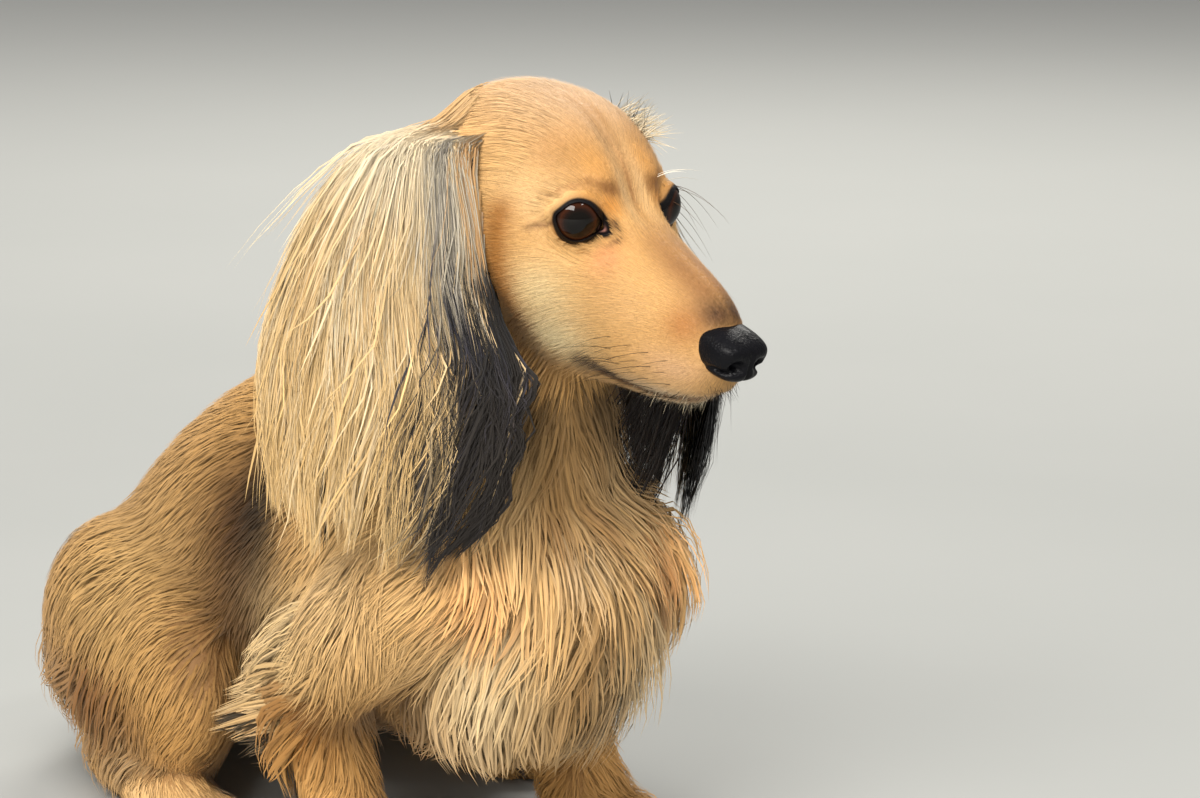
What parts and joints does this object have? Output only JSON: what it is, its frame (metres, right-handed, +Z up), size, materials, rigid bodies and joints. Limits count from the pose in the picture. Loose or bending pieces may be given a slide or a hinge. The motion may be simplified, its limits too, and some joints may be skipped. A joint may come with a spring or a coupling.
{
  "type": "longhaired dachshund dog",
  "caption": "Life-size still model of a sitting longhaired dachshund with long coated ears and a plumed tail.",
  "frame": {"origin": "on the floor under the middle of the model's box", "axes": "+X forward from the tail to the chest, +Y to the dog's left, +Z up"},
  "size_m": [0.4662, 0.2056, 0.2916],
  "materials": {
    "cream_coat": "soft golden cream fur",
    "pale_coat": "long pale blond fur",
    "nose_leather": "moist black leather",
    "eye": "polished dark brown"
  },
  "bodies": {
    "root": {"torso": "cream_coat", "neck": "cream_coat", "head": "cream_coat", "lower_jaw": "cream_coat", "nose": "nose_leather", "eye_left": "eye", "eye_right": "eye", "ear_left": "pale_coat", "ear_right": "pale_coat", "foreleg_left": "cream_coat", "foreleg_right": "cream_coat", "forepaw_left": "cream_coat", "forepaw_right": "cream_coat", "thigh_left": "cream_coat", "thigh_right": "cream_coat", "hind_foot_left": "cream_coat", "hind_foot_right": "cream_coat", "tail": "cream_coat"}
  },
  "joints": []
}
